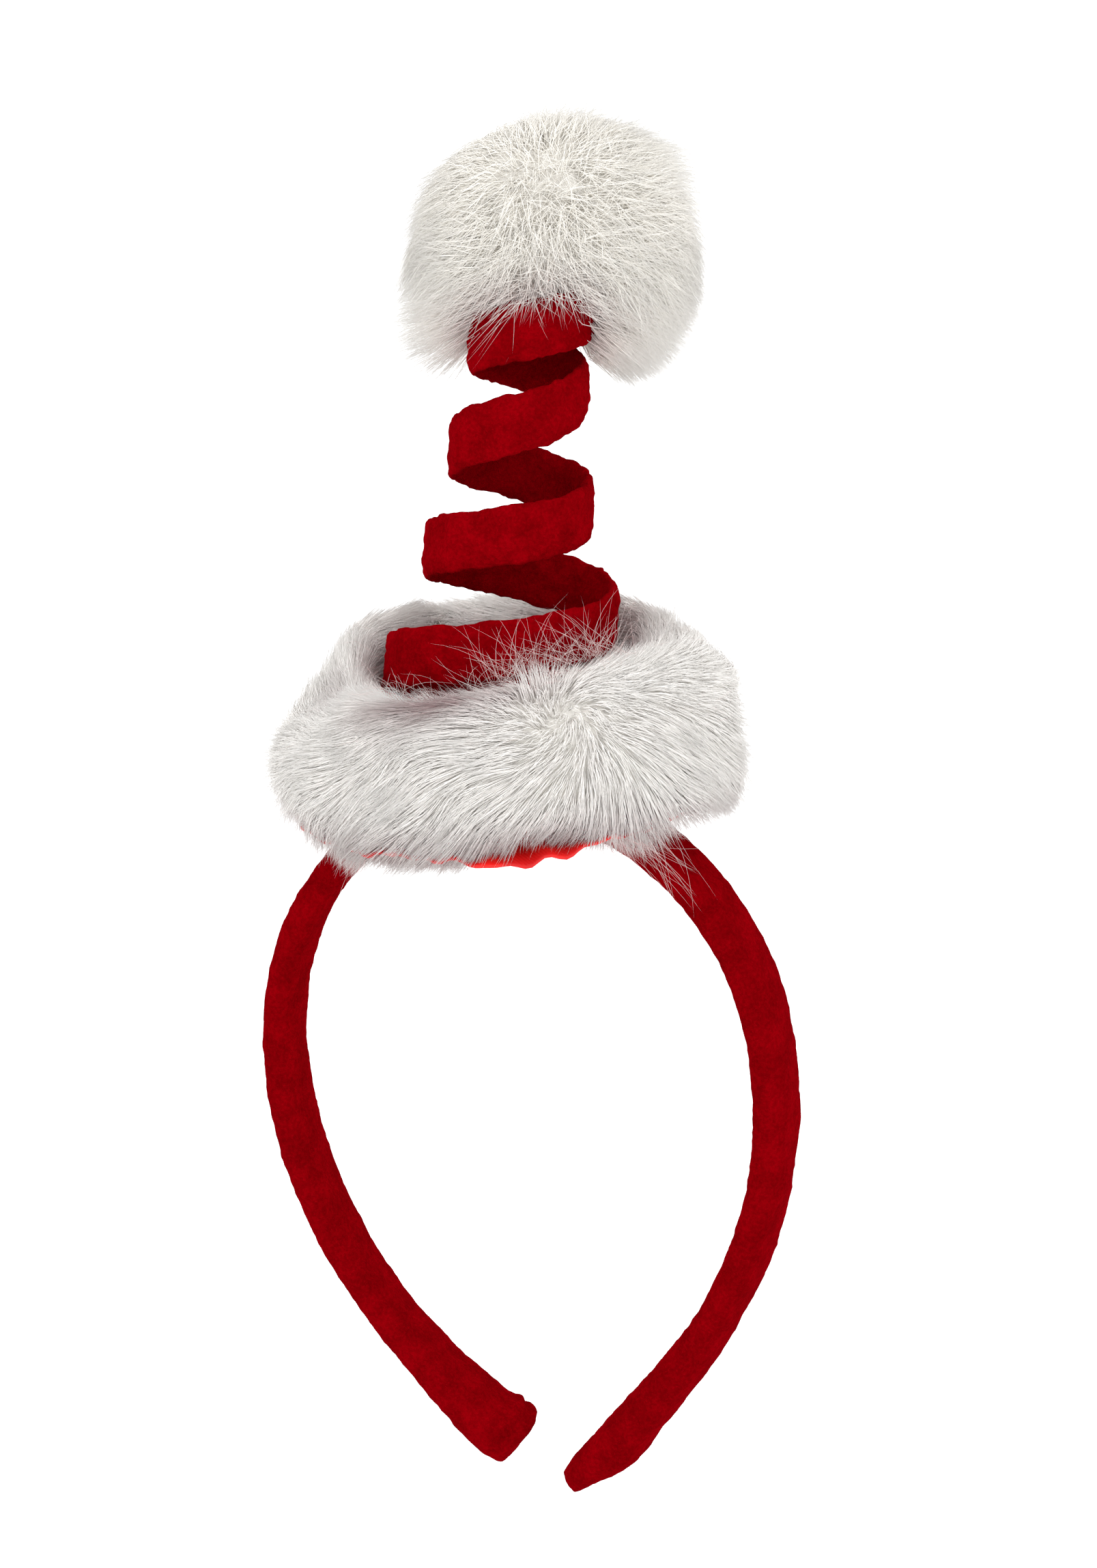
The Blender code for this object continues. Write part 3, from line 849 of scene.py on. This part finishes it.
# The core of backing: its share of the ball's radius, how much flatter it is below, and how far it stays
# behind the strap
CORE_SHARE = 0.94
CORE_FLATTENED = 0.62
CORE_BEHIND_STRAP = 4.5 * MM

# Seen from the camera, the pompom's hairs spread from a crown that lies so far above and right of the middle
# of its front. They fall away from it, hang down, part in front of the coil, and lie in slow waves.
CROWN_UP, CROWN_RIGHT = 0.30, 0.06
FALLING = 0.62
HANGING = 0.10
PARTED = 0.30
WAVY = 0.22

# They start so deep in the core and end so far outside the ball, and further on its upper half
ROOTED = 0.4 * MM
FUR_BEYOND = 1.9 * MM
FULLER_ABOVE = 1.2 * MM

# The hollow that the coil goes into: its radius, how far it goes left and right of the middle, how far right
# for hairs that only pass through, and how far below the middle each of these holds, in radii of the ball
HOLLOW_RADIUS = 17 * MM
HOLLOW_SIDE = 15 * MM
HOLLOW_RIGHT = 4 * MM
BELOW_ROUND, BELOW_SIDE, BELOW_PASSING = 0.35, 0.50, 0.55

# Hairs hang over the strap above a line that slants up to the right, through this place left of and below
# the middle. The strap covers what lies so far outside it or so near it.
VEIL_LEFT, VEIL_LOW, VEIL_SLOPE = -14.7 * MM, -24.3 * MM, 0.69
STRAP_COVERS = 6.5 * MM
STRAP_NEAR = 0.8 * MM


def core_place(out, level):
    """How far the core's surface lies from the ball's centre in some directions: it is flatter below, and
    stays behind the strap where that lies near the ball's outside."""
    reach = POMPOM_RADIUS * CORE_SHARE * (1 - CORE_FLATTENED * np.clip(-level, 0, 1))
    centre, start = ball_frame()[0], POMPOM_RADIUS * 1.4
    for n, direction in enumerate(out.tolist()):
        towards = Vector(direction)
        hit = STRAP_CLOTH.ray_cast(centre + towards * start, -towards, start - 0.5 * POMPOM_RADIUS)[3]
        if hit is not None:
            reach[n] = min(reach[n], start - hit - CORE_BEHIND_STRAP)
    return reach


def make_pompom_core():
    """The ball of backing that the pompom's hairs grow from, flattened where it sits in the coil."""
    centre, _, _, up = ball_frame()
    clear_selection()
    bpy.ops.mesh.primitive_ico_sphere_add(subdivisions=5, radius=1)
    core = bpy.context.object
    core.name = core.data.name = "pompom_core"
    places, _ = points_of(core.data)
    out = unit(places)
    places = np.array(centre) + out * core_place(out, out @ np.array(up))[:, None]
    set_points(core.data, places)
    roughen(core, CORE_WAVES)
    core.data.shade_smooth()
    core.data.materials.append(FUR_BACKING)
    return ride_on_root(core, "fur", "pompom")


def over_strap(places, centre):
    """Which places lie outside the strap, seen from the ball's centre, or on it."""
    hidden = []
    for place in places:
        towards = Vector(centre - place).normalized()
        hit = STRAP_CLOTH.ray_cast(Vector(place), towards, STRAP_COVERS)[0]
        hidden.append(hit is not None or STRAP_CLOTH.find_nearest(Vector(place), STRAP_NEAR)[0] is not None)
    return np.array(hidden)


def behind_strap(places, directions):
    """Which places have the strap in front of them in their direction."""
    hits = [STRAP_CLOTH.ray_cast(Vector(p), Vector(d), POMPOM_RADIUS)[0] for p, d in zip(places, directions)]
    return np.array([hit is not None for hit in hits])


def ball_headings(out, side, back, up, front, right, chance):
    """Which way the pompom's hairs head, in slow waves, and the looser the nearer they are to the crown."""
    level, across, ahead = out @ up, out @ right, np.clip(out @ front, 0, 1)
    waves = (np.sin(3.1 * out @ side + 0.4), np.sin(2.7 * out @ back + 1.9), np.sin(3.9 * level + 3.1))
    slow = np.stack(waves, axis=1) @ np.stack([side, back, up])
    crown = unit(front + up * CROWN_UP + right * CROWN_RIGHT)
    facing = out @ crown
    falling = (out * facing[:, None] - crown) * np.clip(0.5 + facing, 0, 1)[:, None]
    aside = np.tanh(across / 0.2) * ahead**2 * ridge(level, -0.25, 0.5)
    heading = out + falling * FALLING + right * (aside * PARTED)[:, None] - up * HANGING
    loose = 0.15 + 0.34 * np.clip(facing, 0, 1) ** 3
    return unit(heading + slow * WAVY + chance.normal(0, 1, (len(out), 3)) * loose[:, None])


def clear_of_coil(roots, bends, tips, out, centre, up, right):
    """Which of the pompom's hairs stay: none fills the hollow, and none hangs over the strap but those high
    enough on its front."""
    away = tips - centre
    low = away @ up
    wide = np.linalg.norm(away - low[:, None] * up, axis=1)
    filling = (low < -BELOW_ROUND * POMPOM_RADIUS) & (wide < HOLLOW_RADIUS)
    filling |= (low < -BELOW_SIDE * POMPOM_RADIUS) & (np.abs(away @ right) < HOLLOW_SIDE)
    middles = (bends + tips) / 2
    for places in (middles - centre, bends - centre):
        beside = (places @ right > -HOLLOW_SIDE) & (places @ right < HOLLOW_RIGHT)
        filling |= (places @ up < -BELOW_PASSING * POMPOM_RADIUS) & beside
    veil = away[:, 2] > VEIL_LOW + VEIL_SLOPE * (away @ right - VEIL_LEFT)
    veil &= ~behind_strap(roots, out)
    return ~filling & (veil | ~over_strap(tips, centre) & ~over_strap(middles, centre))


def make_pompom_fur(count):
    """The pompom's fur in an upper and a lower half."""
    chance = np.random.default_rng(SEED + 1)
    centre, side, back, up = (np.array(v) for v in ball_frame())
    front = side * math.sin(CAMERA_AZIMUTH) - back * math.cos(CAMERA_AZIMUTH)
    right = side * math.cos(CAMERA_AZIMUTH) + back * math.sin(CAMERA_AZIMUTH)
    out = unit(chance.normal(0, 1, (count, 3)))
    level, across = out @ up, out @ right
    roots = centre + out * (core_place(out, level) - ROOTED)[:, None]
    heading = ball_headings(out, side, back, up, front, right, chance)
    reach = POMPOM_RADIUS + FUR_BEYOND + POMPOM_LOCK * chance.normal(0.80, 0.26, count)
    reach += np.clip(level, 0, 1) * (1 + np.abs(across)) * FULLER_ABOVE
    tips = centre + heading * (reach * (1 - (1 - POMPOM_FLATNESS) * np.abs(heading @ up)))[:, None]
    for sideways, upwards, further in POMPOM_SHAPE:
        apart = (heading @ right - sideways) ** 2 + (heading[:, 2] - upwards) ** 2
        tips += heading * (np.exp(-apart / 0.09) * further * MM)[:, None]
    tips = clumped(roots, tips, BALL_LOCKS, chance)
    bends = roots + (centre + out * (reach * 0.93)[:, None] - roots) * 0.72
    kept = clear_of_coil(roots, bends, tips, out, centre, up, right)
    widths = hair_widths(HAIR_WIDTH, count, chance)
    for label, mine in (("upper", kept & (level > 0)), ("lower", kept & (level <= 0))):
        lines = curved(roots[mine], bends[mine], tips[mine], HAIR_POINTS)
        hair_mesh(f"pompom_fur_{label}", lines, widths[mine], BALL_FUR, chance)


def stray_lines(feet, headings, lengths, curl, sag, chance):
    """Long loose hairs that set out along their heading, curl aside and sag a little."""
    count = len(feet)
    share = np.linspace(0, 1, STRAY_POINTS)[None, :, None]
    headings = unit(headings)
    aside = unit(np.cross(headings, chance.normal(0, 1, (count, 3))))
    reach = lengths[:, None, None]
    lines = feet[:, None] + headings[:, None] * share * reach
    lines += aside[:, None] * share**2 * reach * (curl * chance.uniform(-1, 1, count))[:, None, None]
    lines[:, :, 2] -= (share**2 * reach * sag)[:, :, 0]
    return lines


# How deep in the brim's fur loose hairs start. Then the loose hairs: how many, from where to where round the
# brim, in degrees from the side that faces the camera, their share of the way round its section, how they
# head outwards, round and up, how much that differs, their lengths in mm, and how much they curl and sag
STRAY_DEPTH = 3 * MM
STRAYS = (
    (105, -2, 52, 0.20, 0.42, -0.10, -0.60, 1.0, 0.50, 8, 17, 0.8, 0.12),
    (65, -2, 48, 0.22, 0.42, -0.10, 0.55, 0.9, 0.50, 7, 14, 0.8, 0.12),
    (95, -46, 8, 0.06, 0.30, -0.10, -0.30, 1.0, 0.65, 5, 11, 0.9, 0.25),
    (60, -60, -10, 0.05, 0.30, 0.80, -0.70, 0.5, 0.35, 6, 12, 0.6, 0.30),
    (44, 24, 44, 0.88, 1.00, 0.30, 0.80, -1.0, 0.30, 9, 19, 0.5, 0.20),
    (16, -50, -40, 0.88, 1.00, 0.10, -0.30, -1.0, 0.25, 5, 10, 0.5, 0.20),
    (120, -180, 180, 0.10, 0.95, 1.00, 0.10, 0.1, 0.45, 5, 8, 0.5, 0.20),
)


def make_brim_strays():
    """Loose hairs of the brim: over the strap's first turn, over the band's arms, and all round."""
    chance = np.random.default_rng(SEED + 2)
    lines = []
    for count, start, stop, low, high, out, around, up, loose, shortest, longest, curl, sag in STRAYS:
        angle = FACING + np.radians(chance.uniform(start, stop, count))
        feet = brim_tips(angle, chance.uniform(low, high, count), -STRAY_DEPTH)
        radial = np.stack([np.cos(angle), np.sin(angle), np.zeros(count)], axis=1)
        tangent = np.stack([-np.sin(angle), np.cos(angle), np.zeros(count)], axis=1)
        heading = radial * out + tangent * around + np.array([0, 0, up]) + chance.normal(0, loose, (count, 3))
        lengths = chance.uniform(shortest, longest, count) * MM
        lines.append(stray_lines(feet, heading, lengths, curl, sag, chance))
    lines = np.concatenate(lines)
    hair_mesh("brim_strays", lines, hair_widths(STRAY_WIDTH, len(lines), chance), STRAY_FUR, chance)


# Where the fringe grows, in degrees from the side that faces the camera, and its shortest and longest hairs
FRINGE_FROM, FRINGE_TO = -50, -16
FRINGE_SHORTEST, FRINGE_LONGEST = 2.0 * MM, 4.2 * MM


def make_brim_fringe(count):
    """Short fur turned under the base's edge, left of the front."""
    chance = np.random.default_rng(SEED + 3)
    angle = FACING + np.radians(chance.uniform(FRINGE_FROM, FRINGE_TO, count))
    reach = BASE_RADIUS - chance.uniform(1.0, 6.0, count) * MM
    spread = np.stack([np.cos(angle), np.sin(angle), np.zeros(count)], axis=1)
    feet = np.array([BRIM_CENTRE.x, 0, 0]) + spread * reach[:, None]
    feet[:, 2] = BASE_LOW.z + 0.6 * MM
    heading = spread * 0.35 + np.array([0, 0, -1.0]) + chance.normal(0, 0.3, (count, 3))
    lengths = chance.uniform(FRINGE_SHORTEST, FRINGE_LONGEST, count)
    lines = stray_lines(feet, heading, lengths, 0.25, 0.0, chance)[:, ::3]
    hair_mesh("brim_fringe", lines, hair_widths(HAIR_WIDTH, count, chance), BRIM_FUR, chance)


def make_pompom_strays(count):
    """Loose hairs of the pompom that hang in front of the coil's last turn."""
    chance = np.random.default_rng(SEED + 4)
    centre, side, back, up = (np.array(v) for v in ball_frame())
    across = chance.uniform(-0.70, 0.15, count)
    below = chance.uniform(-0.30, -0.05, count)
    out = unit(side * across[:, None] - back + up * below[:, None])
    feet = centre + out * POMPOM_RADIUS * 0.9
    heading = out * 0.5 - up + side * (across[:, None] * 0.8) + chance.normal(0, 0.35, (count, 3))
    lines = stray_lines(feet, heading, chance.uniform(8, 15, count) * MM, 0.6, 0.1, chance)
    widths = hair_widths(STRAY_WIDTH, count, chance)
    # These take half the painted red light from the cloth nearby
    hair_mesh("pompom_strays", lines, widths, BALL_FUR, chance, red_light_taken=0.5)


# Stage, light and camera

# What the camera looks at, from how far, how high and how tilted, and where that lies in the photograph's
# frame, with the object's scale there
TARGET = Vector((0, 0, -48.25 * MM))
CAMERA_DISTANCE = 1.5
CAMERA_ELEVATION = math.radians(18.5)
CAMERA_ROLL = math.radians(5.63)
IMAGE_WIDTH, IMAGE_HEIGHT = 1607, 2296
PIXELS_PER_METRE = 7000
TARGET_PIXEL = (767.7, 1500)
SENSOR = 36


def make_camera():
    """Looks as the photograph does: from the front right, a little above, and leaning to one side."""
    sine, cosine = math.sin(CAMERA_ELEVATION), math.cos(CAMERA_ELEVATION)
    towards = Vector((math.sin(CAMERA_AZIMUTH) * cosine, -math.cos(CAMERA_AZIMUTH) * cosine, sine))
    level = Vector((math.cos(CAMERA_AZIMUTH), math.sin(CAMERA_AZIMUTH), 0))
    upright = towards.cross(level)
    right = level * math.cos(CAMERA_ROLL) - upright * math.sin(CAMERA_ROLL)
    up = level * math.sin(CAMERA_ROLL) + upright * math.cos(CAMERA_ROLL)
    across = (IMAGE_WIDTH / 2 - TARGET_PIXEL[0]) / PIXELS_PER_METRE
    above = (TARGET_PIXEL[1] - IMAGE_HEIGHT / 2) / PIXELS_PER_METRE
    place = TARGET + towards * CAMERA_DISTANCE
    aim = TARGET + right * across + up * above
    back = (place - aim).normalized()
    side = up.cross(back).normalized()
    rise = back.cross(side)
    lens = bpy.data.cameras.new("camera")
    lens.sensor_width = SENSOR
    lens.lens = SENSOR * CAMERA_DISTANCE * PIXELS_PER_METRE / IMAGE_HEIGHT
    camera = bpy.data.objects.new("camera", lens)
    camera.matrix_world = Matrix((side, rise, back)).transposed().to_4x4()
    camera.location = place
    bpy.context.scene.collection.objects.link(camera)
    bpy.context.scene.camera = camera


# The floor lies below the object, which is held up
FLOOR_GAP = 40 * MM
FLOOR_SIZE = 14


def make_floor():
    clear_selection()
    bpy.ops.mesh.primitive_plane_add(size=FLOOR_SIZE, location=(0, 0, CAD_BOX[0].z - FLOOR_GAP))
    floor = bpy.context.object
    floor.name = "floor"
    paint = {"Base Color": (0.97, 0.97, 0.97, 1), "Roughness": 0.9, "Specular IOR Level": 0.1}
    floor.data.materials.append(new_material("floor_paint", paint)[0])


# Even light from all round, light bounces inside the fur, and soft lights by name, place and watts
WORLD_STRENGTH = 1.25
DIFFUSE_BOUNCES = 12
SOFTBOX_SIZE = 1.0
SOFTBOXES = (
    ("key", (-0.7, -1.1, 1.2), 7),
    ("fill", (1.3, -0.8, 0.7), 5),
    ("rim", (0.2, 1.2, 1.0), 3),
)


def add_softbox(name, place, power):
    light = bpy.data.lights.new(name, "AREA")
    light.shape = "DISK"
    light.size = SOFTBOX_SIZE
    light.energy = power
    box = bpy.data.objects.new(name, light)
    bpy.context.scene.collection.objects.link(box)
    box.location = place
    box.rotation_euler = (Vector(place) - TARGET).to_track_quat("Z", "Y").to_euler()


def light_scene():
    """Even white light from all round, with three weak softboxes."""
    world = bpy.data.worlds.new("surround")
    world.use_nodes = True
    world.node_tree.nodes["Background"].inputs["Color"].default_value = (1, 1, 1, 1)
    world.node_tree.nodes["Background"].inputs["Strength"].default_value = WORLD_STRENGTH
    bpy.context.scene.world = world
    for name, place, power in SOFTBOXES:
        add_softbox(name, place, power)
    bpy.context.scene.view_settings.view_transform = "Standard"
    bpy.context.scene.cycles.diffuse_bounces = DIFFUSE_BOUNCES


make_camera()
make_band()
make_strap()
make_base()
make_brim_backing()
make_brim_fur(BRIM_HAIRS)
make_brim_strays()
make_brim_fringe(FRINGE_HAIRS)
make_pompom_core()
make_pompom_fur(BALL_HAIRS)
make_pompom_strays(BALL_STRAYS)
make_floor()
light_scene()
